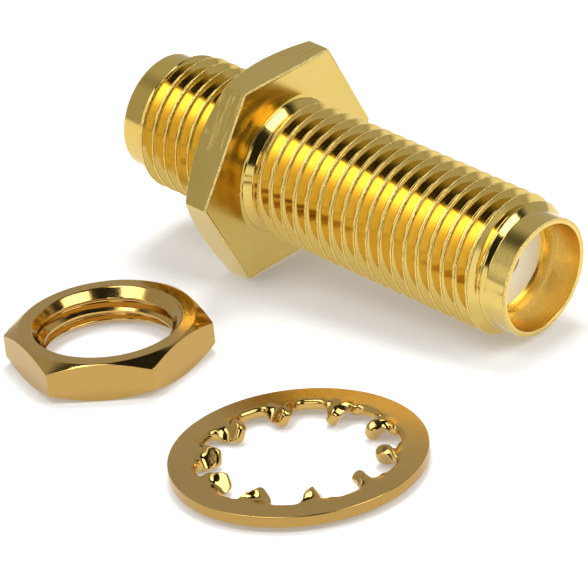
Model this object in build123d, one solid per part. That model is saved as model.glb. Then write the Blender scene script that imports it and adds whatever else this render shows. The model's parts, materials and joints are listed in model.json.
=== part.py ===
from build123d import *
import os
from math import atan2, degrees, radians, sqrt, tan

# A gold-plated coaxial bulkhead adapter with a socket at both ends, lying on a bench with its hex nut
# and its internal-tooth lock washer taken off and laid beside it.
# Millimetres, +Z up. The adapter's axis runs along +X in plan, with the long barrel's nose at +X.
# The fine threads are left as plain cylinders: barrels at the major diameter, the nut at the minor one.

# Body: barrels and hex flange, measured along the axis from the flange's panel face
THREAD_OD = 6.35
THREAD_DEPTH = 0.35
LAND_WIDTH = 0.12
RELIEF_DEPTH = 0.3
RELIEF_WIDTH = 0.05
FRONT_LENGTH = 14.7
REAR_LENGTH = 6.0
PILOT_STEP = 0.455
PILOT_LENGTH = 1.05
SHOULDER_LENGTH = 0.45
PILOT_EDGE = 0.12
HEX_ACROSS_FLATS = 9.525
FLANGE_THICKNESS = 1.65
FLANGE_FACE_INSET = 0.1
CHAMFER_ANGLE = 30

# Sockets in both ends, and the bore that holds the insulators
SOCKET_WALL = 0.41
SOCKET_DEPTH = 1.9
SOCKET_EDGE = 0.08
INSULATOR_LEDGE = 0.26
INSULATOR_CLEARANCE = 0.01

# Centre contact: a slotted socket at both ends and a collar between the insulators
CONTACT_OD = 1.27
CONTACT_CLEARANCE = 0.01
CONTACT_RECESS = 0.05
CONTACT_BORE = 0.94
CONTACT_BORE_DEPTH = 2.8
CONTACT_SLOT_WIDTH = 0.15
CONTACT_SLOT_DEPTH = 2.0
COLLAR_OD = 1.9
COLLAR_WIDTH = 0.8

# Hex nut
NUT_WALL = 0.825
NUT_THICKNESS = 1.8
NUT_FACE_INSET = 0.08
NUT_COUNTERSINK_LIP = 0.15
NUT_COUNTERSINK_DEPTH = 0.5

# Lock washer, with its teeth twisted about their own radial lines
WASHER_RIM = 1.15
WASHER_THICKNESS = 0.5
TOOTH_COUNT = 10
TOOTH_TIP_CLEARANCE = 0.05
TOOTH_LENGTH = 1.075
TOOTH_ROOT_WIDTH = 1.1
TOOTH_TIP_WIDTH = 0.85
TOOTH_FILLET = 0.26
TOOTH_FLAT = 0.36
TOOTH_ANCHOR = 0.3
TOOTH_TWIST = -50

# Where the loose pieces lie on the bench: clear gaps between outlines, and how far they are turned
NUT_SHIFT = -0.2
NUT_GAP = 1.28
NUT_TURN = 39
WASHER_GAP_ALONG = 3.53
WASHER_GAP_ASIDE = 3.2
WASHER_TURN = -1.5

# Sizes that follow from those above
THREAD_END = FRONT_LENGTH - PILOT_LENGTH - SHOULDER_LENGTH
RELIEF_END = LAND_WIDTH + 2 * RELIEF_DEPTH + RELIEF_WIDTH
PILOT_OD = THREAD_OD - 2 * PILOT_STEP
SOCKET_BORE = PILOT_OD - 2 * SOCKET_WALL
INSULATOR_OD = SOCKET_BORE - 2 * INSULATOR_LEDGE
FRONT_PLANE = FRONT_LENGTH - SOCKET_DEPTH
REAR_PLANE = -FLANGE_THICKNESS - REAR_LENGTH + SOCKET_DEPTH
MIDDLE = (FRONT_PLANE + REAR_PLANE) / 2
HALF_LENGTH = (FRONT_PLANE - REAR_PLANE) / 2
NUT_ACROSS_FLATS = THREAD_OD + 2 * NUT_WALL
NUT_MINOR_BORE = THREAD_OD - 2 * THREAD_DEPTH
NUT_COUNTERSINK = THREAD_OD + 2 * NUT_COUNTERSINK_LIP
TOOTH_TIP_CIRCLE = THREAD_OD + 2 * TOOTH_TIP_CLEARANCE
TOOTH_ROOT_CIRCLE = TOOTH_TIP_CIRCLE + 2 * TOOTH_LENGTH
WASHER_OD = TOOTH_ROOT_CIRCLE + 2 * WASHER_RIM


def corner_radius(across_flats):
    """Distance from a hexagon's centre to its corners."""
    return across_flats / sqrt(3)


def turned(*corners):
    """A solid of revolution about X from the (station, radius) corners of its half section."""
    return revolve(make_face(Polyline(*corners, close=True)), Axis.X)


def hex_prism(across_flats, length):
    """A hexagonal bar along +X from the origin, with flats facing up and down."""
    outline = Plane.YZ * RegularPolygon(across_flats / 2, 6, major_radius=False)
    return extrude(outline, length, dir=(1, 0, 0))


def chamfer_cone(across_flats, inset, length):
    """A cone about X that leaves a face circle at the origin and opens out towards +X past the corners."""
    face = across_flats / 2 - inset
    return turned((0, 0), (0, face), (length, face + length / tan(radians(CHAMFER_ANGLE))), (length, 0))


def hex_flange():
    """The panel stop: a slice of hexagonal bar, chamfered on the rear side and sharp on the panel face."""
    bar = hex_prism(HEX_ACROSS_FLATS, FLANGE_THICKNESS)
    cone = chamfer_cone(HEX_ACROSS_FLATS, FLANGE_FACE_INSET, FLANGE_THICKNESS)
    return Pos(-FLANGE_THICKNESS, 0, 0) * (bar & cone)


def barrel(length):
    """One barrel from the origin to its nose at +X: a narrow land, a relief groove with 45 degree sides where
    the threading tool runs out, then thread diameter, shoulder, pilot and broken edge."""
    thread_end = length - PILOT_LENGTH - SHOULDER_LENGTH
    return turned(
        (0, 0),
        (0, THREAD_OD / 2),
        (LAND_WIDTH, THREAD_OD / 2),
        (LAND_WIDTH + RELIEF_DEPTH, THREAD_OD / 2 - RELIEF_DEPTH),
        (RELIEF_END - RELIEF_DEPTH, THREAD_OD / 2 - RELIEF_DEPTH),
        (RELIEF_END, THREAD_OD / 2),
        (thread_end, THREAD_OD / 2),
        (length - PILOT_LENGTH, PILOT_OD / 2),
        (length - PILOT_EDGE, PILOT_OD / 2),
        (length, PILOT_OD / 2 - PILOT_EDGE),
        (length, 0),
    )


def socket_cut(length):
    """The socket in a barrel's nose, with its broken edge, from the reference plane out past the nose."""
    return turned(
        (length - SOCKET_DEPTH, 0),
        (length - SOCKET_DEPTH, SOCKET_BORE / 2),
        (length - SOCKET_EDGE, SOCKET_BORE / 2),
        (length, SOCKET_BORE / 2 + SOCKET_EDGE),
        (length, 0),
    )


def facing_rear(piece):
    """Turns a piece made for the front end so that it points out of the flange's rear face."""
    return Pos(-FLANGE_THICKNESS, 0, 0) * Rot(0, 0, 180) * piece


def connector_body():
    """The adapter's metal body, bored right through for the insulators."""
    outside = barrel(FRONT_LENGTH) + hex_flange() + facing_rear(barrel(REAR_LENGTH))
    bore_length = FRONT_LENGTH + FLANGE_THICKNESS + REAR_LENGTH
    bore = Plane.YZ * Circle(INSULATOR_OD / 2 + INSULATOR_CLEARANCE)
    through = Pos(-FLANGE_THICKNESS - REAR_LENGTH, 0, 0) * extrude(bore, bore_length, dir=(1, 0, 0))
    return outside - through - socket_cut(FRONT_LENGTH) - facing_rear(socket_cut(REAR_LENGTH))


def insulator():
    """One PTFE bush from its meeting face at the origin to the reference plane at +X."""
    hole = CONTACT_OD / 2 + CONTACT_CLEARANCE
    recess = COLLAR_OD / 2 + CONTACT_CLEARANCE
    recess_depth = COLLAR_WIDTH / 2 + CONTACT_CLEARANCE
    return turned(
        (0, recess),
        (0, INSULATOR_OD / 2),
        (HALF_LENGTH, INSULATOR_OD / 2),
        (HALF_LENGTH, hole),
        (recess_depth, hole),
        (recess_depth, recess),
    )


def centre_contact():
    """The contact about the origin: a rod with a collar, drilled and slotted at both ends."""
    tip = HALF_LENGTH - CONTACT_RECESS
    rod = Pos(-tip, 0, 0) * extrude(Plane.YZ * Circle(CONTACT_OD / 2), 2 * tip, dir=(1, 0, 0))
    collar = extrude(Plane.YZ * Circle(COLLAR_OD / 2), COLLAR_WIDTH / 2, dir=(1, 0, 0), both=True)
    drill = extrude(Plane.YZ * Circle(CONTACT_BORE / 2), CONTACT_BORE_DEPTH, dir=(1, 0, 0))
    saw = Pos(CONTACT_SLOT_DEPTH / 2, 0, 0) * Box(CONTACT_SLOT_DEPTH, CONTACT_OD, CONTACT_SLOT_WIDTH)
    socket = drill + saw + Rot(90, 0, 0) * saw
    front_socket = Pos(tip, 0, 0) * Rot(0, 0, 180) * socket
    rear_socket = Pos(-tip, 0, 0) * socket
    return rod + collar - front_socket - rear_socket


def bulkhead_nut():
    """The nut standing on its face along +X: both faces chamfered, hole countersunk from both sides."""
    bar = hex_prism(NUT_ACROSS_FLATS, NUT_THICKNESS)
    cone = chamfer_cone(NUT_ACROSS_FLATS, NUT_FACE_INSET, NUT_THICKNESS)
    other_cone = Pos(NUT_THICKNESS, 0, 0) * Rot(0, 0, 180) * cone
    hole = turned(
        (0, 0),
        (0, NUT_COUNTERSINK / 2),
        (NUT_COUNTERSINK_DEPTH, NUT_MINOR_BORE / 2),
        (NUT_THICKNESS - NUT_COUNTERSINK_DEPTH, NUT_MINOR_BORE / 2),
        (NUT_THICKNESS, NUT_COUNTERSINK / 2),
        (NUT_THICKNESS, 0),
    )
    return (bar & cone & other_cone) - hole


def tooth_section(radius, width, twist):
    """A tooth's rectangular section across its radial line, at one radius, turned by the twist."""
    plane = Plane(origin=(radius, 0, 0), x_dir=(0, 1, 0), z_dir=(1, 0, 0))
    return plane * Rot(0, 0, twist) * Rectangle(width, WASHER_THICKNESS)


def washer_blank():
    """The flat stamping: a ring whose hole is scalloped, with a rounded corner beside each tooth's stub."""
    root = TOOTH_ROOT_CIRCLE / 2
    stub_length = TOOTH_FLAT + TOOTH_ANCHOR
    stub_middle = root + (TOOTH_ANCHOR - TOOTH_FLAT) / 2
    stub = Pos(stub_middle, 0, 0) * Box(stub_length, TOOTH_ROOT_WIDTH, WASHER_THICKNESS)
    ring = Cylinder(WASHER_OD / 2, WASHER_THICKNESS) - Cylinder(root, WASHER_THICKNESS)
    blank = ring + [turn * stub for turn in PolarLocations(0, TOOTH_COUNT)]
    upright = blank.edges().filter_by(Axis.Z)
    corners = [edge for edge in upright if abs(edge.center().length - root) < TOOTH_FLAT / 2]
    return fillet(corners, TOOTH_FILLET)


def washer_tooth():
    """The twisted end of one tooth, pointing inwards along X from its flat stub: two ruled lengths."""
    start = TOOTH_ROOT_CIRCLE / 2 - TOOTH_FLAT
    tip = TOOTH_TIP_CIRCLE / 2
    middle_width = (TOOTH_ROOT_WIDTH + TOOTH_TIP_WIDTH) / 2
    sections = [
        tooth_section(start, TOOTH_ROOT_WIDTH, 0),
        tooth_section((start + tip) / 2, middle_width, TOOTH_TWIST / 2),
        tooth_section(tip, TOOTH_TIP_WIDTH, TOOTH_TWIST),
    ]
    return loft(sections, ruled=True)


def lock_washer():
    """The washer about the origin: the flat stamping with a twisted tooth on every stub."""
    tooth = washer_tooth()
    return washer_blank() + [turn * tooth for turn in PolarLocations(0, TOOTH_COUNT)]


# The adapter comes to rest on the front edge of the flange's lower flat and on the end of its long thread
TILT = degrees(atan2(HEX_ACROSS_FLATS / 2 - THREAD_OD / 2, THREAD_END))
LYING = Rot(0, TILT, 0) * Pos(0, 0, HEX_ACROSS_FLATS / 2)

# The nut lies flat beside the flange, and the washer in front of the nut and beside the nose
NUT_ASIDE = corner_radius(HEX_ACROSS_FLATS) + NUT_GAP + corner_radius(NUT_ACROSS_FLATS)
WASHER_ALONG = NUT_SHIFT + corner_radius(NUT_ACROSS_FLATS) + WASHER_GAP_ALONG + WASHER_OD / 2
WASHER_ASIDE = corner_radius(HEX_ACROSS_FLATS) + WASHER_GAP_ASIDE + WASHER_OD / 2
NUT_PLACE = Pos(NUT_SHIFT, -NUT_ASIDE, 0) * Rot(0, 0, NUT_TURN)
WASHER_PLACE = Pos(WASHER_ALONG, -WASHER_ASIDE, 0) * Rot(0, 0, WASHER_TURN)
FACE_DOWN = Rot(0, -90, 0)


def on_bench(piece):
    """Sets a piece down with its lowest point on the bench."""
    return Pos(0, 0, -piece.bounding_box().min.Z) * piece


pieces = {
    "connector_body": LYING * connector_body(),
    "front_dielectric": LYING * Pos(MIDDLE, 0, 0) * insulator(),
    "rear_dielectric": LYING * Pos(MIDDLE, 0, 0) * Rot(0, 0, 180) * insulator(),
    "centre_contact": LYING * Pos(MIDDLE, 0, 0) * centre_contact(),
    "bulkhead_nut": NUT_PLACE * on_bench(FACE_DOWN * bulkhead_nut()),
    "lock_washer": WASHER_PLACE * on_bench(lock_washer()),
}

# The origin is on the bench, under the middle of everything that lies there
extent = Compound(list(pieces.values())).bounding_box()
ORIGIN = Pos(-extent.center().X, -extent.center().Y, -extent.min.Z)

os.makedirs("parts", exist_ok=True)
for name, piece in pieces.items():
    export_step(ORIGIN * piece, f"parts/{name}.step")
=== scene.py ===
import json
import bpy
import numpy as np
from mathutils import Matrix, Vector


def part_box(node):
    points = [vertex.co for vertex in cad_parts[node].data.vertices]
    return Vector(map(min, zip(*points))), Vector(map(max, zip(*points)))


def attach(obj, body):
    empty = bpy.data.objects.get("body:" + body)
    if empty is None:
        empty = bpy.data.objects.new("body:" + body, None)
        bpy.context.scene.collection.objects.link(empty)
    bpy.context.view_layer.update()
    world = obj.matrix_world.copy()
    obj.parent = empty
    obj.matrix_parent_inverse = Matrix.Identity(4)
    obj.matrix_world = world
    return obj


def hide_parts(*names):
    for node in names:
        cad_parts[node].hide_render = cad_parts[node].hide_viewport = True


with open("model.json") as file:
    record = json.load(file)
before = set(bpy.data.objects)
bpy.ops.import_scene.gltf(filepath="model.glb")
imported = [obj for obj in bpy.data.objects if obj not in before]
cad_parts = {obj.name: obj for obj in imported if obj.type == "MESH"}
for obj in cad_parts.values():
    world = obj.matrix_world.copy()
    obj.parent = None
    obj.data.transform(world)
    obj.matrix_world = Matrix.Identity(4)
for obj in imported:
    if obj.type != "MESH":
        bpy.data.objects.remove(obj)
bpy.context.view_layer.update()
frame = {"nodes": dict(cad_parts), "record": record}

# Connector body. One length of hexagonal brass bar, turned down to a barrel on each side of the flange,
# threaded right-handed, bored through and counterbored at both noses, then gold plated all over.
# The flange's front face is the panel stop, and every station here is measured from it in millimetres.
mm = 0.001
mounts = {mount["name"]: mount for mount in frame["record"]["mounts"]}
panel_seat = mounts["panel_seat"]
seat_aside = 4.0
body_axis = np.array(panel_seat["axis"])
body_aside = np.array([0.0, 1.0, 0.0])
body_up = np.cross(body_axis, body_aside)
panel_face = np.array(panel_seat["pos_m"]) / mm - seat_aside * body_aside

# The thread's crest, root and root break are shares of its pitch.
inch = 25.4
threads_per_inch = 36
thread_radius = 3.175
thread_pitch = inch / threads_per_inch
crest_width = 0.1
root_width = 0.19
root_break = 0.02
flank_slope = np.sqrt(3)
crest_arc = np.radians([0, 20, 40, 60])
crest_round = thread_pitch * crest_width / 2 / np.sin(crest_arc[-1])
vee_depth = crest_round / 2 + thread_pitch * (1 - crest_width - root_width) / 2 * flank_slope
front_crest_at = 12.62
rear_crest_at = -2.9
run_out_length = 0.3

front_length = 14.7
rear_length = 6.0
flange_thickness = 1.65
rear_face = -flange_thickness
flange_flats = 9.525
flange_corner_round = 0.1
flange_edge_round = 0.07
chamfer_inset = 0.1
chamfer_slope = np.tan(np.radians(30))
face_margin = 0.2
edge_break = 0.02
arc_sag = 0.3
land_width = 0.12
relief_depth = 0.3
relief_width = 0.05
shoulder_length = 0.45
pilot_radius = 2.72
pilot_length = 1.05
pilot_fillet = 0.06
front_rim_round = 0.06
rear_rim_round = 0.13
rim_inner_round = 0.03
mouth_radius = 2.47
mouth_depth = 1.3
mouth_blend = 1.2
socket_radius = 2.31
socket_depth = 1.9
undercut_height = 0.34
undercut_depth = 0.035
undercut_slope = 0.05
ledge_break = 0.03
insulator_bore = 2.06
throat_length = 0.5
corner_columns = 7
flat_columns = 26


def corner_circle(across_flats, corner_round):
    """The circle that rounds a hexagon's corner: how far its centre lies from the axis, and the angle from
    the corner's diagonal at which it touches the flat."""
    centre = (across_flats / 2 - corner_round) / np.cos(np.pi / 6)
    touch = np.arctan2(corner_round / 2, centre + corner_round * np.cos(np.pi / 6))
    return centre, touch


def hexagon_radius(turn, across_flats, corner_round):
    """Radius of a hexagon with corners at 0, 60, 120... degrees: half the flats over the cosine of the angle
    from the nearest flat's middle, and within each corner the far side of the circle set on the diagonal."""
    centre, touch = corner_circle(across_flats, corner_round)
    from_corner = np.abs((turn + np.pi / 6) % (np.pi / 3) - np.pi / 6)
    flat = across_flats / 2 / np.cos(np.pi / 6 - from_corner)
    inside = np.maximum(corner_round ** 2 - (centre * np.sin(from_corner)) ** 2, 0)
    return np.where(from_corner < touch, centre * np.cos(from_corner) + np.sqrt(inside), flat)


def hexagon_turns(across_flats, corner_round):
    """Column angles for one turn: a few close ones from each corner on, then even steps over the flat."""
    touch = corner_circle(across_flats, corner_round)[1]
    corner = np.linspace(-1, 1, corner_columns) * touch
    flat = np.linspace(touch, np.pi / 3 - touch, flat_columns + 2)[1:-1]
    one_sixth = np.concatenate([corner, flat])
    return (np.arange(6)[:, None] * np.pi / 3 + one_sixth).ravel() - corner[0]


def vee(phase):
    """Depth share of a 60 degree thread at a phase counted in pitches from a crest: a small arc over the
    crest, straight flanks that touch it, and a narrow flat at the root with its two corners broken."""
    from_crest = np.abs((phase + 0.5) % 1 - 0.5)
    root_corner = 0.5 - root_width / 2
    flank_end = vee_depth - root_break * thread_pitch * flank_slope
    root_places = [root_corner - root_break, root_corner + root_break, 0.5]
    places = np.append(crest_round / thread_pitch * np.sin(crest_arc), root_places)
    depths = np.append(crest_round * (1 - np.cos(crest_arc)), [flank_end, vee_depth, vee_depth])
    return np.interp(from_crest, places, depths) / vee_depth


crest_rows = np.append(crest_round / thread_pitch * np.sin(crest_arc[1:]), crest_width / 2 + root_break)
root_rows = 0.5 - root_width / 2 + np.array([-1, 1]) * root_break
vee_rows = np.concatenate([-crest_rows[::-1], [0], crest_rows, root_rows, 1 - root_rows[::-1]])


def thread_phase(station, turn, crest_at):
    """Pitches from the crest that starts at a station: station over pitch, less one pitch for each turn."""
    return (station - crest_at) / thread_pitch - turn / (2 * np.pi)


def triangles(ids):
    """Two triangles for every four neighbours in a grid of vertex numbers, without those that collapse."""
    a, b, c, d = ids[:-1, :-1], ids[:-1, 1:], ids[1:, 1:], ids[1:, :-1]
    both = np.concatenate([np.stack([a, b, c], -1).reshape(-1, 3), np.stack([a, c, d], -1).reshape(-1, 3)])
    return both[(both[:, 0] != both[:, 1]) & (both[:, 1] != both[:, 2]) & (both[:, 2] != both[:, 0])]


def closed(ids):
    """The same grid of vertex numbers with its first column repeated, so that it closes round the axis."""
    return np.concatenate([ids, ids[:, :1]], axis=1)


def numbered(rows, first_id):
    """Vertex numbers for a block of rows of stations and radii, counted on from the first one."""
    return first_id + np.arange(rows[:, 0].size).reshape(-1, rows.shape[-1])


def helix_band(turns, crest_at, low, high, below, above, first_id):
    """Rows that follow a thread between two stations. Row = pitch x (its place in the thread + turns made),
    so each row climbs one pitch in a turn and joins the row one pitch up. Rows past either end are cut
    there and take the vertices of the plain rows below and above. Returns stations and vertex numbers."""
    first_turn = np.floor((low - crest_at) / thread_pitch) - 2
    last_turn = np.ceil((high - crest_at) / thread_pitch) + 1
    places = (np.arange(first_turn, last_turn + 1)[:, None] + vee_rows).ravel()
    station = crest_at + thread_pitch * (places[:, None] + turns / (2 * np.pi))
    ids = first_id + np.arange(station.size).reshape(station.shape)
    ids = np.where(station <= low, below, np.where(station >= high, above, ids))
    shifted = np.concatenate([ids[len(vee_rows):, 0], np.full(len(vee_rows), above[0])])
    return np.clip(station, low, high), np.concatenate([ids, shifted[:, None]], axis=1)


def make_piece(name, points, faces, **layers):
    """A mesh object at the origin from points in metres and triangles of their numbers. Unused points are
    dropped, and each vertex normal is the sum of its triangles' normals weighted by their areas."""
    used, faces = np.unique(faces, return_inverse=True)
    points, faces = points[used], faces.reshape(-1, 3)
    mesh = bpy.data.meshes.new(name)
    mesh.vertices.add(len(points))
    mesh.vertices.foreach_set("co", points.astype(np.float32).ravel())
    mesh.loops.add(faces.size)
    mesh.loops.foreach_set("vertex_index", faces.astype(np.int32).ravel())
    mesh.polygons.add(len(faces))
    mesh.polygons.foreach_set("loop_start", np.arange(0, faces.size, 3, dtype=np.int32))
    mesh.update(calc_edges=True)
    mesh.polygons.foreach_set("use_smooth", np.ones(len(faces), dtype=bool))
    a, b, c = points[faces[:, 0]], points[faces[:, 1]], points[faces[:, 2]]
    facing = np.cross(b - a, c - a)
    normals = np.zeros_like(points)
    np.add.at(normals, faces.ravel(), np.repeat(facing, 3, axis=0))
    normals /= np.maximum(np.linalg.norm(normals, axis=1, keepdims=True), 1e-30)
    mesh.normals_split_custom_set_from_vertices(normals.tolist())
    for layer, values in layers.items():
        attribute = mesh.attributes.new(layer, "FLOAT", "POINT")
        attribute.data.foreach_set("value", values[used].astype(np.float32))
    piece = bpy.data.objects.new(name, mesh)
    bpy.context.scene.collection.objects.link(piece)
    return piece


def rounded(start, corner, end, radius, steps):
    """Stations and radii of a corner turned to a radius: the arc that touches both straight sides."""
    start, corner, end = np.array(start), np.array(corner), np.array(end)
    back = (start - corner) / np.linalg.norm(start - corner)
    ahead = (end - corner) / np.linalg.norm(end - corner)
    half = np.arccos(np.clip(back @ ahead, -1, 1)) / 2
    centre = corner + (back + ahead) / np.linalg.norm(back + ahead) * radius / np.sin(half)
    first = corner + back * radius / np.tan(half) - centre
    last = corner + ahead * radius / np.tan(half) - centre
    share = np.linspace(0, 1, steps)[:, None]
    sweep = np.pi - 2 * half
    return centre + (np.sin((1 - share) * sweep) * first + np.sin(share * sweep) * last) / np.sin(sweep)


def nose_profile(length, rim_round):
    """A nose from the end of its thread, in distances out from the flange: shoulder cone, pilot, narrow rim,
    then back down a gentle taper, along the socket's wall, over its undercut and the insulator's ledge."""
    pilot_start = length - pilot_length
    thread_end = pilot_start - shoulder_length
    bottom = length - socket_depth
    rim = (length, pilot_radius)
    mouth = (length, mouth_radius)
    wall = (length - mouth_depth, socket_radius)
    undercut_top = bottom + undercut_height
    undercut_radius = socket_radius + undercut_depth
    cone = np.linspace((thread_end, thread_radius), (pilot_start, pilot_radius), 15)
    return np.concatenate([
        cone[:-2],
        rounded(cone[0], cone[-1], rim, pilot_fillet, 4),
        rounded((pilot_start, pilot_radius), rim, mouth, rim_round, 7),
        rounded(rim, mouth, wall, rim_inner_round, 5),
        rounded(mouth, wall, (bottom, socket_radius), mouth_blend, 6),
        [(undercut_top + undercut_slope, socket_radius), (undercut_top, undercut_radius)],
        [(bottom + ledge_break, undercut_radius), (bottom, socket_radius)],
        [(bottom, insulator_bore + ledge_break), (bottom - ledge_break, insulator_bore)],
        [(bottom - throat_length, insulator_bore)],
    ])


def relief_profile():
    """The start of a barrel, in distances out from the flange: a narrow land at the thread's full radius,
    then a groove with 45 degree sides where the threading tool runs out, up to the thread's crests."""
    floor = thread_radius - relief_depth
    down_end = land_width + relief_depth
    up_start = down_end + relief_width
    return np.concatenate([
        [(0.0, thread_radius), (land_width - edge_break, thread_radius)],
        [(land_width + 0.5 * edge_break, thread_radius - edge_break)],
        [(down_end - 1.5 * edge_break, floor + edge_break), (down_end, floor)],
        np.linspace((up_start, floor), (up_start + relief_depth, thread_radius), 16),
    ])


def to_rear(profile):
    """The same profile out from the flange's rear face: stations negated and set back, in reverse order."""
    return (profile * np.array([[-1.0, 1.0]]) + np.array([[rear_face, 0.0]]))[::-1]


def turned_rows(profile, turns, crest_at, thread_from, thread_full):
    """Rows of constant station whose radius is the smaller of the turned profile and the thread's surface.
    The thread's depth grows from nothing to full between two stations, where the tool runs out."""
    station = np.repeat(profile[:, :1], len(turns), axis=1)
    run_out = np.clip((station - thread_from) / (thread_full - thread_from), 0, 1)
    cut = thread_radius - vee_depth * run_out * vee(thread_phase(station, turns, crest_at))
    return np.stack([station, np.minimum(profile[:, 1:], cut)], axis=1)


def threaded_rows(station, turns, crest_at):
    """Stations and radii of rows that follow the thread: its full radius less the vee's depth there."""
    cut = vee(thread_phase(station, turns, crest_at))
    return np.stack([station, thread_radius - vee_depth * cut], axis=1)


flange_turns = hexagon_turns(flange_flats, flange_corner_round)
hexagon = hexagon_radius(flange_turns, flange_flats, flange_corner_round)
level = np.ones_like(hexagon)
face_circle = flange_flats / 2 - chamfer_inset
face_start = thread_radius + face_margin
chamfer_edge = rear_face + chamfer_slope * (hexagon - face_circle)
flange_rows = np.array([
    (rear_face * level, face_start * level),
    (rear_face * level, (face_circle - 1.5 * edge_break) * level),
    ((rear_face + 0.5 * edge_break) * level, face_circle * level),
    (chamfer_edge - 0.6 * edge_break, hexagon - edge_break),
    (chamfer_edge + 1.25 * edge_break, hexagon),
    ((-flange_edge_round - 2 * edge_break) * level, hexagon),
    (-flange_edge_round * level, hexagon),
    (-arc_sag * flange_edge_round * level, hexagon - arc_sag * flange_edge_round),
    (0 * level, hexagon - flange_edge_round),
    (0 * level, hexagon - flange_edge_round - 2.5 * edge_break),
    (0 * level, face_start * level),
])
run_out_at = land_width + relief_depth
run_out_end = run_out_at + run_out_length
rear_thread = (flange_turns, rear_crest_at, rear_face - run_out_at, rear_face - run_out_end)
front_thread = (flange_turns, front_crest_at, run_out_at, run_out_end)
rear_nose = turned_rows(to_rear(nose_profile(rear_length, rear_rim_round)), *rear_thread)
rear_relief = turned_rows(to_rear(relief_profile()), *rear_thread)
front_relief = turned_rows(relief_profile(), *front_thread)
front_nose = turned_rows(nose_profile(front_length, front_rim_round), *front_thread)
middle = np.concatenate([rear_relief, flange_rows, front_relief])

rear_ids = numbered(rear_nose, 0)
middle_ids = numbered(middle, rear_ids.size)
front_ids = numbered(front_nose, rear_ids.size + middle_ids.size)
next_id = rear_ids.size + middle_ids.size + front_ids.size
rear_helix, rear_helix_ids = helix_band(
    flange_turns, rear_crest_at, rear_nose[-1, 0, 0], middle[0, 0, 0],
    rear_ids[-1], middle_ids[0], next_id,
)
front_helix, front_helix_ids = helix_band(
    flange_turns, front_crest_at, middle[-1, 0, 0], front_nose[0, 0, 0],
    middle_ids[-1], front_ids[0], next_id + rear_helix.size,
)
body_rows = np.concatenate([
    rear_nose,
    middle,
    front_nose,
    threaded_rows(rear_helix, flange_turns, rear_crest_at),
    threaded_rows(front_helix, flange_turns, front_crest_at),
])
body_station = body_rows[:, 0].ravel()
body_radius = body_rows[:, 1].ravel()
body_turn = np.tile(flange_turns, len(body_rows))
body_points = mm * (
    panel_face
    + body_station[:, None] * body_axis
    + (body_radius * np.cos(body_turn))[:, None] * body_aside
    + (body_radius * np.sin(body_turn))[:, None] * body_up
)
body_faces = np.concatenate([
    triangles(closed(rear_ids)),
    triangles(rear_helix_ids),
    triangles(closed(middle_ids)),
    triangles(front_helix_ids),
    triangles(closed(front_ids)),
    triangles(closed(np.stack([front_ids[-1], rear_ids[0]]))),
])

# Where the finish changes: grooves, crests and arrises, the flange's flats and front face, and the sockets.
hair = 0.001
crest_band = 0.025
crest_from = land_width + 0.05
arris_weight = 2.0
bored_within = 2.6
front_thread_end = front_length - pilot_length - shoulder_length
on_barrel = (body_station > 0) & (body_station < front_thread_end) | (body_station < rear_face)
in_groove = np.where(on_barrel, np.clip((thread_radius - body_radius) / vee_depth, 0, 1), 0)
past_land = (body_station > crest_from) | (body_station < rear_face - crest_from)
on_crest = past_land & (np.abs(body_radius - thread_radius) < crest_band)
on_face = (np.abs(body_station) < hair) & (body_radius > thread_radius + face_margin / 2)
near_face = (body_station > -flange_edge_round - hair) & (body_station < hair)
on_arris = near_face & (body_radius > np.tile(hexagon, len(body_rows)) - flange_edge_round - hair)
on_arris |= (body_station > front_length - front_rim_round) & (body_radius > pilot_radius - front_rim_round)
on_flat = (body_station > rear_face + chamfer_inset) & (body_station < hair - flange_edge_round)
on_flat &= body_radius > face_circle
connector_body = make_piece(
    "connector_body_plated", body_points, body_faces,
    groove=in_groove,
    edge=np.where(on_arris, arris_weight, on_crest),
    flat=on_flat,
    bored=body_radius < bored_within,
    faced=on_face,
)


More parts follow.
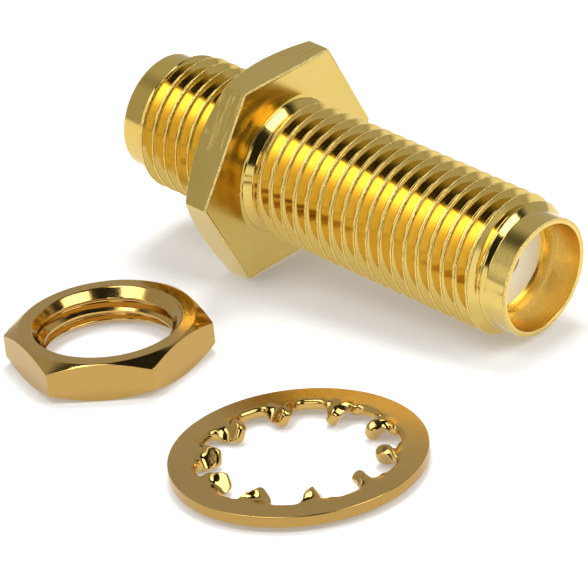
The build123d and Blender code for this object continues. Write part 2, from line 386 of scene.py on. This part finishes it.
class Wire:
    """A socket in a node tree. Sums, products and the like on wires add Math nodes, and node() adds any
    other kind."""

    def __init__(self, tree, socket=None):
        self.tree = tree
        self.socket = socket

    def node(self, kind, settings=None, sockets=None, output=0):
        """Adds a node, sets its settings, fills its sockets with values or wires, and returns one output."""
        made = self.tree.nodes.new(kind)
        for setting, value in (settings or {}).items():
            setattr(made, setting, value)
        for key, value in (sockets or {}).items():
            if isinstance(value, Wire):
                self.tree.links.new(value.socket, made.inputs[key])
            else:
                made.inputs[key].default_value = value
        return Wire(self.tree, made.outputs[output]) if len(made.outputs) else None

    def math(self, operation, *values):
        """One Math node on the given values and wires."""
        return self.node("ShaderNodeMath", {"operation": operation}, dict(enumerate(values)))

    def __add__(self, other):
        return self.math("ADD", self, other)

    def __sub__(self, other):
        return self.math("SUBTRACT", self, other)

    def __rsub__(self, other):
        return self.math("SUBTRACT", other, self)

    def __mul__(self, other):
        return self.math("MULTIPLY", self, other)

    def __pow__(self, other):
        return self.math("POWER", self, other)

    __radd__ = __add__
    __rmul__ = __mul__

    def ramp(self, low, high, at_low, at_high):
        """Runs smoothly from one value to another while this wire goes between two limits."""
        limits = {"Value": self, "From Min": low, "From Max": high, "To Min": at_low, "To Max": at_high}
        return self.node("ShaderNodeMapRange", {"interpolation_type": "SMOOTHSTEP"}, limits)

    def tint(self, first, second):
        """Mixes two colours by this wire."""
        sockets = {"Factor": self, 6: first, 7: second}
        return self.node("ShaderNodeMix", {"data_type": "RGBA"}, sockets, output=2)

    def noise(self, scale, detail, roughness):
        """Noise on this wire's vector, from 0 to 1, with as many cells to the metre as its scale."""
        sockets = {"Vector": self, "Scale": scale, "Detail": detail, "Roughness": roughness}
        return self.node("ShaderNodeTexNoise", {"noise_dimensions": "3D"}, sockets)

    def spread(self, least, most):
        """Stretches the middle range of a noise, where most of it lies, between two values."""
        return self.ramp(0.3, 0.7, least, most)

    def mapped(self, sockets):
        """This wire's vector, moved, turned or stretched by a Mapping node."""
        return self.node("ShaderNodeMapping", {"vector_type": "POINT"}, {"Vector": self, **sockets})

    def split(self):
        """The three parts of this wire's vector."""
        return [self.node("ShaderNodeSeparateXYZ", None, {"Vector": self}, part) for part in "XYZ"]

    def layer(self, name):
        """A value that the piece's mesh holds at each vertex."""
        return self.node("ShaderNodeAttribute", {"attribute_name": name}, None, "Fac")

    def bump(self, strength):
        """A normal raised by this wire's height, a fiftieth of a millimetre for a height of one."""
        sockets = {"Strength": strength, "Distance": 0.02 * mm, "Height": self}
        return self.node("ShaderNodeBump", None, sockets)


def new_finish(name):
    """An empty material, a wire to start its nodes from, and the place on the piece in metres."""
    material = bpy.data.materials.new(name)
    material.use_nodes = True
    material.node_tree.nodes.clear()
    start = Wire(material.node_tree)
    return material, start, start.node("ShaderNodeTexCoord", None, None, "Object")


def set_finish(start, sockets):
    """Closes a material: one principled shader with these sockets, into the output."""
    shader = start.node("ShaderNodeBsdfPrincipled", None, sockets)
    start.node("ShaderNodeOutputMaterial", None, {"Surface": shader})


pale_plate = (0.73, 0.54, 0.155, 1)
warm_plate = (0.71, 0.515, 0.14, 1)
groove_bounce_plate = (0.73, 0.50, 0.125, 1)
burnished_glint_plate = (0.97, 0.77, 0.31, 1)
socket_painted_light_plate = (0.90, 0.66, 0.20, 1)
groove_bounce_warmth = 0.55
bored_dulling = 0.18
faced_dulling = 0.08
ring_height = 0.05
nick_height = 1.9
scratch_height = 0.8
streak_height = 0.3
axis_tilt = float(np.arctan2(-body_axis[2], body_axis[0]))

body_finish, start, place = new_finish("bright_gold_plating")
groove = start.layer("groove")
edge = start.layer("edge")
flat = start.layer("flat")
bored = start.layer("bored")
faced = start.layer("faced")

# Tool marks: lathe rings about the body's axis, streaks and scratches that run round the flats, edge nicks.
centred = place.mapped({"Location": tuple(-panel_face * mm)})
along_axis = centred.mapped({"Rotation": (0, -axis_tilt, 0)})
along, aside, up = along_axis.split()
lathe = start.node("ShaderNodeCombineXYZ", None, {"X": along, "Y": (aside * aside + up * up) ** 0.5})
cutter = along_axis.mapped({"Scale": (1, 0.02, 0.02)})
grain = place.noise(9000, 3, 0.6)
nicks = place.noise(15000, 2, 0.6)
marks = lathe.noise(22000, 2, 0.6) * 0.6 + grain * 0.4
streaks = cutter.noise(9000, 2, 0.5) * 0.6 + grain * 0.4
scratched = place.noise(450, 1, 0.5).ramp(0.5, 0.62, 0, 1)
scratches = cutter.noise(14000, 1, 0.5).ramp(0.55, 0.75, 0, 1) * scratched
milled = scratches * scratch_height + streaks * streak_height
relief = marks * ring_height + edge * nicks * nick_height + flat * milled

# Plated gold: pale to warm in patches a few millimetres wide, warmer in the grooves as a painted reflection
# of gold bounced between flanks, paler on burnished edges and crests, partly wear and partly painted glints,
# and brighter inside the sockets as painted light standing in for the light that reaches down the bores.
patch_tone = place.noise(320, 3, 0.5).spread(0, 1).tint(pale_plate, warm_plate)
# Warmer in the grooves: a painted reflection of gold light bounced between the thread's flanks.
groove_bounce_tone = (groove * groove_bounce_warmth).tint(patch_tone, groove_bounce_plate)
# Paler on crests and arrises: partly burnished wear, partly a painted glint along the edges.
burnish_and_glint = edge.ramp(0.4, 1.0, 0, 1) * nicks.ramp(0.44, 0.58, 0.05, 1.0)
edge_tone = burnish_and_glint.tint(groove_bounce_tone, burnished_glint_plate)
set_finish(start, {
    # Brighter inside the sockets: painted light standing in for the light that reaches down the bores.
    "Base Color": bored.tint(edge_tone, socket_painted_light_plate),
    "Metallic": 1.0,
    "Roughness": marks.spread(0.08, 0.14) + bored * bored_dulling + faced * faced_dulling,
    "Normal": relief.bump(1.0),
})
connector_body.data.materials.append(body_finish)
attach(connector_body, "root")
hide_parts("connector_body")

# Insulators. Two turned bushes of white fluoropolymer, pushed in from the two ends until they meet.
# Their outer faces are the discs at the bottom of the sockets, faced off on a lathe.
# The white discs are painted cream: a painted reflection of the gold socket walls round them, mottled at
# random.
gold_lit_disc_dull = (0.94, 0.86, 0.69, 1)
gold_lit_disc_clean = (0.97, 0.90, 0.75, 1)
disc_finish, start, place = new_finish("white_fluoropolymer")
cloud = place.noise(500, 3, 0.5)
set_finish(start, {
    "Base Color": cloud.spread(0, 1).tint(gold_lit_disc_dull, gold_lit_disc_clean),
    "Roughness": cloud.spread(0.42, 0.52),
})
for bush in ("front_dielectric", "rear_dielectric"):
    bush_node = frame["nodes"][bush]
    bush_node.data.materials.clear()
    bush_node.data.materials.append(disc_finish)

# Centre contact. A rod of spring copper alloy, drilled and slotted at both ends to grip a pin, gold plated.
# A collar at its middle is trapped between the two bushes and keeps it from being pulled out.
contact_dark = (0.70, 0.48, 0.15, 1)
contact_pale = (0.76, 0.55, 0.20, 1)
contact_finish, start, place = new_finish("contact_gold_plating")
cloud = place.noise(2500, 3, 0.5)
set_finish(start, {
    "Base Color": cloud.spread(0, 1).tint(contact_dark, contact_pale),
    "Metallic": 1.0,
    "Roughness": cloud.spread(0.18, 0.28),
})
contact_node = frame["nodes"]["centre_contact"]
contact_node.data.materials.clear()
contact_node.data.materials.append(contact_finish)

# Bulkhead nut. A thin slice of hexagonal brass bar, chamfered on both faces, tapped with the barrel's thread
# and countersunk from both sides, gold plated. It lies flat on the bench, unscrewed.
nut_middle = np.array(mounts["nut_thread"]["pos_m"]) / mm
nut_thickness = 2 * nut_middle[2]
nut_flats = 8.0
nut_corner_round = 0.09
nut_turned = np.radians(39)
nut_chamfer_inset = 0.08
nut_minor = 2.825
nut_crest_at = 0.62
countersink_radius = 3.325
countersink_depth = 0.5
countersink_rows = 14
nut_pale = (0.60, 0.39, 0.116, 1)
nut_warm = (0.57, 0.36, 0.102, 1)
nut_side_painted_shade = (0.50, 0.315, 0.088, 1)


def nut_hole(station, turn):
    """Radius of the tapped hole: minor radius plus the vee, or the countersink's cone where it is wider."""
    vee_out = nut_minor + vee_depth * (1 - vee(thread_phase(station, turn, nut_crest_at) + 0.5))
    from_face = np.minimum(station, nut_thickness - station)
    cone = countersink_radius - from_face * (countersink_radius - nut_minor) / countersink_depth
    return np.maximum(vee_out, cone)


def hole_rows(station, turns):
    """Rows of stations and radii down the wall of the tapped hole."""
    return np.stack([station, nut_hole(station, turns)], axis=1)


nut_turns = hexagon_turns(nut_flats, nut_corner_round)
nut_hexagon = hexagon_radius(nut_turns, nut_flats, nut_corner_round)
nut_face_circle = nut_flats / 2 - nut_chamfer_inset
nut_rise = chamfer_slope * (nut_hexagon - nut_face_circle)
nut_lower = [
    (0 * level, (countersink_radius + 1.5 * edge_break) * level),
    (0 * level, (nut_face_circle - 2 * edge_break) * level),
    (0.6 * edge_break * level, (nut_face_circle + 0.5 * edge_break) * level),
    (nut_rise - 0.7 * edge_break, nut_hexagon - 1.2 * edge_break),
    (nut_rise + 1.5 * edge_break, nut_hexagon),
]
nut_upper = [(nut_thickness - height, radius) for height, radius in nut_lower[::-1]]
sink = np.linspace(0.6 * edge_break, countersink_depth, countersink_rows)[:, None] * level
shell = np.concatenate([np.array(nut_lower + nut_upper), hole_rows(nut_thickness - sink, nut_turns)])
bottom_sink = hole_rows(sink, nut_turns)[::-1]
shell_ids = numbered(shell, 0)
sink_ids = numbered(bottom_sink, shell_ids.size)
nut_helix, nut_helix_ids = helix_band(
    nut_turns, nut_crest_at, countersink_depth, nut_thickness - countersink_depth,
    sink_ids[0], shell_ids[-1], shell_ids.size + sink_ids.size,
)
nut_rows = np.concatenate([shell, bottom_sink, hole_rows(nut_helix, nut_turns)])
nut_radius = nut_rows[:, 1].ravel()
nut_turn = np.tile(nut_turns, len(nut_rows)) + nut_turned
nut_points = mm * np.stack([
    nut_middle[0] + nut_radius * np.cos(nut_turn),
    nut_middle[1] + nut_radius * np.sin(nut_turn),
    nut_rows[:, 0].ravel(),
], axis=1)
nut_faces = np.concatenate([
    triangles(closed(shell_ids)),
    triangles(nut_helix_ids[::-1]),
    triangles(closed(sink_ids)),
    triangles(closed(np.stack([sink_ids[-1], shell_ids[0]]))),
])
on_side = nut_radius > np.tile(nut_hexagon, len(nut_rows)) - hair
bulkhead_nut = make_piece("bulkhead_nut_plated", nut_points, nut_faces, side=on_side)

nut_finish, start, place = new_finish("nut_gold_plating")
grain = place.noise(7000, 3, 0.6)
faced_tone = place.noise(400, 3, 0.5).spread(0, 1).tint(nut_pale, nut_warm)
set_finish(start, {
    # The nut's sides are painted darker: painted shade that stands in for the shadowed bench they mirror.
    "Base Color": start.layer("side").tint(faced_tone, nut_side_painted_shade),
    "Metallic": 1.0,
    "Roughness": grain.spread(0.09, 0.15),
    "Normal": grain.bump(0.05),
})
bulkhead_nut.data.materials.append(nut_finish)
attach(bulkhead_nut, "root")
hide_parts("bulkhead_nut")

# Lock washer. Stamped from spring sheet as a ring with ten teeth pointing inwards, each tooth then twisted
# about its own radial line so that its two corners bite nut and panel. Tumbled, then gold plated.
washer_low, washer_high = (np.array(corner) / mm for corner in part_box("lock_washer"))
washer_middle = (washer_low + washer_high) / 2
washer_radius = (washer_high - washer_low)[0] / 2
washer_thickness = 0.5
washer_turned = np.radians(-1.5)
tooth_count = 10
tooth_tip = 3.225
tooth_root = 4.3
tooth_twist = np.radians(-58)
twist_done = 3.75
tooth_columns = 72
rim_edge = 0.05
lip_edge = 0.2
polish_from = tooth_root + 0.15
polish_width = 0.3
tooth_polish = 0.1
tooth_smoothing = 0.7
washer_pale = (0.59, 0.39, 0.12, 1)
washer_warm = (0.56, 0.36, 0.105, 1)
washer_rim_painted_shade = (0.46, 0.285, 0.078, 1)


def tooth_outline(turn):
    """Hole radius at an angle from a tooth's middle: flat at the tip, a steep side, then a rounded root."""
    side = np.degrees(np.abs(turn))
    places = [0, 3.3, 4.9, 6.0, 6.7, 7.2, 7.7, 8.2, 8.9, 9.9, 11.4, 13.5, 18]
    heights = [0, 0.01, 0.045, 0.11, 0.2, 0.34, 0.6, 0.74, 0.84, 0.92, 0.97, 1.0, 1.0]
    return tooth_tip + (tooth_root - tooth_tip) * np.interp(side, places, heights)


# Columns lie at even distances along the outline of a tooth, and the section's rows run out over the top,
# round the rim, back in along the underside and round the lip.
fine_turns = np.linspace(-np.pi / tooth_count, np.pi / tooth_count, 4001)
fine_radius = tooth_outline(fine_turns)
steps = np.hypot(np.diff(fine_radius), fine_radius[1:] * np.diff(fine_turns))
travelled = np.concatenate([[0], np.cumsum(steps)])
tooth_turns = np.interp(np.linspace(0, travelled[-1], tooth_columns + 1)[:-1], travelled, fine_turns)
from_tooth = np.tile(tooth_turns, tooth_count)
tooth_middle = np.repeat(np.arange(tooth_count) * 2 * np.pi / tooth_count, tooth_columns) + washer_turned
half = washer_thickness / 2
arc = np.linspace(0, np.pi / 2, 7)[1:]
across = np.array([0.0, 0.04, 0.1, 0.16, 0.22, 0.28, 0.34, 0.42, 0.6, 0.8, 1.0])
inner = tooth_outline(from_tooth) + lip_edge
outer = washer_radius - rim_edge
top_rows = inner + (outer - inner) * across[:, None]
rim_rows = outer + rim_edge * np.sin(arc)[:, None] * np.ones_like(inner)
lip_rows = inner - lip_edge * np.sin(arc)[:, None]
top_heights = np.full(len(across), half)
rim_heights = half - rim_edge + rim_edge * np.cos(arc)
lip_heights = half - lip_edge + lip_edge * np.cos(arc)
section_radius = np.concatenate([
    top_rows, rim_rows, rim_rows[::-1],
    top_rows[::-1], lip_rows, lip_rows[::-1],
])
section_height = np.concatenate([
    top_heights, rim_heights, -rim_heights[::-1],
    -top_heights, -lip_heights, lip_heights[::-1],
])[:, None] * np.ones_like(inner)

# A tooth's section is turned about its radial line by a twist that grows smoothly from its root.
share = np.clip((tooth_root - section_radius) / (tooth_root - twist_done), 0, 1)
twisted = tooth_twist * share * share * (3 - 2 * share)
out = section_radius * np.cos(from_tooth)
sideways = section_radius * np.sin(from_tooth)
turned_side = sideways * np.cos(twisted) - section_height * np.sin(twisted)
turned_height = sideways * np.sin(twisted) + section_height * np.cos(twisted)
washer_points = mm * np.stack([
    washer_middle[0] + out * np.cos(tooth_middle) - turned_side * np.sin(tooth_middle),
    washer_middle[1] + out * np.sin(tooth_middle) + turned_side * np.cos(tooth_middle),
    np.clip(washer_middle[2] + turned_height, 0, washer_high[2]),
], axis=-1)
washer_ids = np.arange(section_radius.size).reshape(section_radius.shape)
washer_faces = triangles(closed(np.concatenate([washer_ids, washer_ids[:1]])))[:, ::-1]
on_tooth = np.clip((polish_from - section_radius) / polish_width, 0, 1)
on_rim = section_radius > outer + 0.8 * rim_edge
lock_washer = make_piece(
    "lock_washer_plated", washer_points.reshape(-1, 3), washer_faces,
    tooth=on_tooth.ravel(), rim=on_rim.ravel(),
)

washer_finish, start, place = new_finish("tumbled_gold_plating")
tooth = start.layer("tooth")
grain = place.noise(8000, 3, 0.65)
rolled_tone = place.noise(450, 3, 0.5).spread(0, 1).tint(washer_pale, washer_warm)
set_finish(start, {
    # The washer's outer rim is painted darker: painted shade that dims the bench it mirrors.
    "Base Color": start.layer("rim").tint(rolled_tone, washer_rim_painted_shade),
    "Metallic": 1.0,
    "Roughness": grain.spread(0.18, 0.26) - tooth * tooth_polish,
    "Normal": ((1 - tooth * tooth_smoothing) * grain).bump(0.12),
})
lock_washer.data.materials.append(washer_finish)
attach(lock_washer, "root")
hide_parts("lock_washer")

# Bench. A plain white sheet, wide enough to fill every view, that takes the soft shadows of the pieces.
# Its colour, and its glow to the camera and to reflections, are whitest round the pieces and fade to grey
# further out: a painted pool of light and painted falloff, which polished metal mirrors as a soft horizon.
bench_reach = 1.5
bench_drop = 0.01 * mm
white_to = 0.05
grey_from = 0.16
near_paper = (0.93, 0.93, 0.93, 1)
far_paper_painted_falloff = (0.52, 0.52, 0.52, 1)
paper_glow = 0.55
glow_looked_at = 0.36
bench_sides = np.linspace(-bench_reach, bench_reach, 3)
bench_x, bench_y = np.meshgrid(bench_sides, bench_sides)
bench_points = np.stack([bench_x, bench_y, np.full_like(bench_x, -bench_drop)], axis=-1).reshape(-1, 3)
bench = make_piece("bench", bench_points, triangles(np.arange(9).reshape(3, 3)))
bench_finish, start, place = new_finish("white_sheet")
from_middle = start.node("ShaderNodeVectorMath", {"operation": "LENGTH"}, {0: place}, "Value")
sheet = start.node("ShaderNodeBsdfPrincipled", None, {
    "Base Color": from_middle.ramp(white_to, grey_from, 0, 1).tint(near_paper, far_paper_painted_falloff),
    "Roughness": 0.9,
    "Specular IOR Level": 0.1,
})
lit_sheet = start.node("ShaderNodeEmission", None, {"Color": (1, 1, 1, 1), "Strength": 1.0})
looked_at = start.node("ShaderNodeLightPath", None, None, "Is Camera Ray")
mirrored = start.node("ShaderNodeLightPath", None, None, "Is Glossy Ray")
fading_out = from_middle.ramp(white_to, grey_from, paper_glow, 0.0)
painted_pool_glow = (looked_at * glow_looked_at + mirrored) * fading_out
seen_sheet = start.node("ShaderNodeMixShader", None, {0: painted_pool_glow, 1: sheet, 2: lit_sheet})
start.node("ShaderNodeOutputMaterial", None, {"Surface": seen_sheet})
bench.data.materials.append(bench_finish)

# Studio light. A tall lamp on the left that fades towards its foot and top, a lamp on the right, and white
# cards low in front and beside the camera, in a dark room with grey walls behind and at both sides, so that
# polished metal mirrors clean bright and black bands. A diffuser high behind evens the light on the bench.
lamp_foot = 0.17
lamp_shoulder = 0.72
lamp_top = 0.08
room_dark = 0.02
rear_grey = 0.5
left_grey = 0.46
right_grey = 0.47
right_slope = 0.7
skyline_grey = 0.05


def add_panel(name, azimuth, elevation, distance, size, radiance):
    """A rectangular lamp of one radiance, at a direction in degrees and a distance, facing the origin."""
    lamp = bpy.data.lights.new(name, "AREA")
    lamp.shape = "RECTANGLE"
    lamp.size, lamp.size_y = size
    lamp.energy = np.pi * size[0] * size[1] * radiance
    turn, rise = np.radians(azimuth), np.radians(elevation)
    back = np.array([np.cos(rise) * np.cos(turn), np.cos(rise) * np.sin(turn), np.sin(rise)])
    across = np.array([-np.sin(turn), np.cos(turn), 0])
    facing = np.stack([across, np.cross(back, across), back], axis=1)
    holder = bpy.data.objects.new(name, lamp)
    holder.matrix_world = Matrix.Translation(back * distance) @ Matrix(facing.tolist()).to_4x4()
    holder.visible_camera = False
    bpy.context.scene.collection.objects.link(holder)
    return holder


left_lamp = add_panel(
    "left_lamp", azimuth=-109, elevation=57.5, distance=0.5, size=(0.20, 0.50), radiance=8.0
)
add_panel("front_card", azimuth=-109, elevation=15, distance=0.5, size=(0.20, 0.29), radiance=1.1)
add_panel("right_lamp", azimuth=16, elevation=45, distance=0.5, size=(0.30, 0.36), radiance=4.0)
add_panel("camera_card", azimuth=-61, elevation=22, distance=0.5, size=(0.18, 0.18), radiance=3.0)
diffuser = add_panel(
    "rear_diffuser", azimuth=122, elevation=69, distance=0.6, size=(0.24, 0.24), radiance=12.0
)
diffuser.visible_glossy = False

left_lamp.data.use_nodes = True
left_lamp.data.node_tree.nodes.clear()
start = Wire(left_lamp.data.node_tree)
up_panel = start.node("ShaderNodeNewGeometry", None, None, "Parametric").split()[1]
fading = up_panel.ramp(0.05, 0.85, lamp_foot, lamp_shoulder) * up_panel.ramp(0.82, 1.0, 1.0, lamp_top)
bulb = start.node("ShaderNodeEmission", None, {"Strength": fading})
start.node("ShaderNodeOutputLight", None, {"Surface": bulb})

room = bpy.data.worlds.new("grey_room")
room.use_nodes = True
room.node_tree.nodes.clear()
start = Wire(room.node_tree)
x, y, z = start.node("ShaderNodeTexCoord", None, None, "Generated").split()
rear_wall = (y * 0.5 - x * 0.7 - z * 0.9).ramp(-0.62, -0.32, 0.0, 1.0) * y.ramp(-0.75, -0.3, 0.0, 1.0)
left_wall = x.ramp(-0.45, -0.25, 1.0, 0.0) * z.ramp(0.72, 0.92, 1.0, 0.0)
right_wall = x.ramp(0.55, 0.8, 0.0, 1.0) * y.ramp(-0.25, 0.0, 0.0, 1.0) * z.ramp(0.16, 0.3, 1.0, 0.0)
skyline = (y * 0.83 - x * 0.56).ramp(0.55, 0.85, 0.0, 1.0) * z.ramp(0.05, 0.2, 1.0, 0.0)
side_walls = left_wall * left_grey + right_wall * (right_grey + y * right_slope)
brightness = room_dark + rear_wall * rear_grey + (1 - rear_wall) * side_walls + skyline * skyline_grey
light = start.node("ShaderNodeCombineXYZ", None, {"X": brightness, "Y": brightness, "Z": brightness})
glow = start.node("ShaderNodeBackground", None, {"Color": light, "Strength": 1.0})
start.node("ShaderNodeOutputWorld", None, {"Surface": glow})
bpy.context.scene.world = room

# Camera. A long lens from the front right, a little above the bench and slightly rolled, as in the
# photograph. Its place, angles and focal length come from a camera fitted to it.
lens_pixels = 4642
image_pixels = 588
camera_at = np.array([126.972, -125.357, 93.476]) * mm
elevation, heading, roll = np.radians([26.97, 45.07, 6.35])
upright = np.array([0, 0, 1])
level_right = np.array([np.cos(heading), np.sin(heading), 0])
level_away = np.array([-np.sin(heading), np.cos(heading), 0])
forward = level_away * np.cos(elevation) - upright * np.sin(elevation)
downward = -(upright * np.cos(elevation) + level_away * np.sin(elevation))
picture_right = np.cos(roll) * level_right + np.sin(roll) * downward
picture_down = np.cos(roll) * downward - np.sin(roll) * level_right
lens = bpy.data.cameras.new("camera")
lens.sensor_width = 36
lens.lens = lens_pixels / image_pixels * lens.sensor_width
lens.clip_start, lens.clip_end = 0.01, 10
camera = bpy.data.objects.new("camera", lens)
facing = np.stack([picture_right, -picture_down, -forward], axis=1)
camera.matrix_world = Matrix.Translation(camera_at) @ Matrix(facing.tolist()).to_4x4()
bpy.context.scene.collection.objects.link(camera)
bpy.context.scene.camera = camera
bpy.context.scene.view_settings.view_transform = "Standard"
